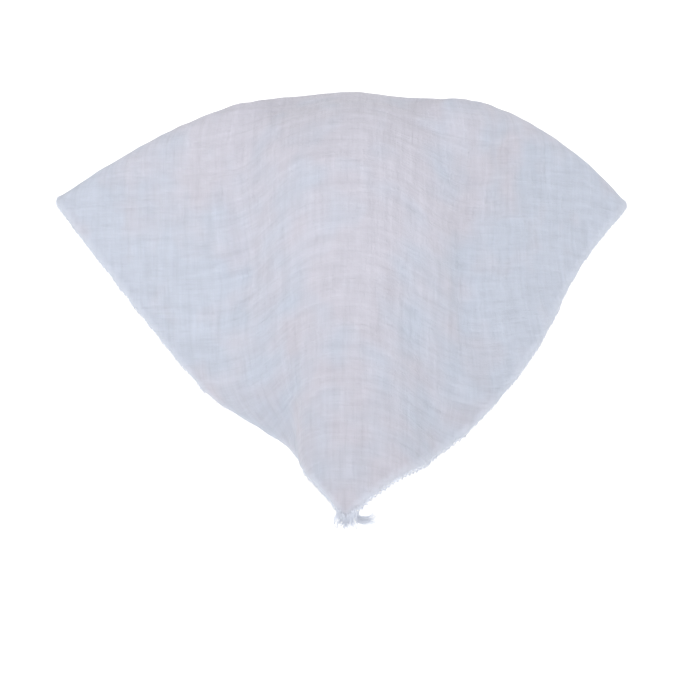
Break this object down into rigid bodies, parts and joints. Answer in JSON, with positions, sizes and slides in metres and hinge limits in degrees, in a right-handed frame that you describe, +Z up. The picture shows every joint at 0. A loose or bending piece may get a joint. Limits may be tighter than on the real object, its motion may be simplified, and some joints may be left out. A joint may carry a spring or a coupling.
{
  "type": "triangular arm sling",
  "caption": "Raw-cut triangular muslin arm sling draped over a head form, with two swept-back wings and a frayed point hanging in front.",
  "frame": {"origin": "seat of the crown under the cloth, on the centre line, where the draped cloth rests on a head", "axes": "+X to the viewer's right across the two wings, +Y from the hanging front to the back, +Z up"},
  "size_m": [0.3774, 0.2894, 0.28],
  "materials": {
    "muslin": "matte crinkled plain weave",
    "loose_yarn": "matte fluffy cotton"
  },
  "bodies": {
    "root": {"cloth_panel": "muslin", "left_warp_ends": "loose_yarn", "left_weft_ends": "loose_yarn", "right_warp_ends": "loose_yarn", "right_weft_ends": "loose_yarn", "point_tuft": "loose_yarn", "pulled_yarn": "loose_yarn"}
  },
  "joints": []
}
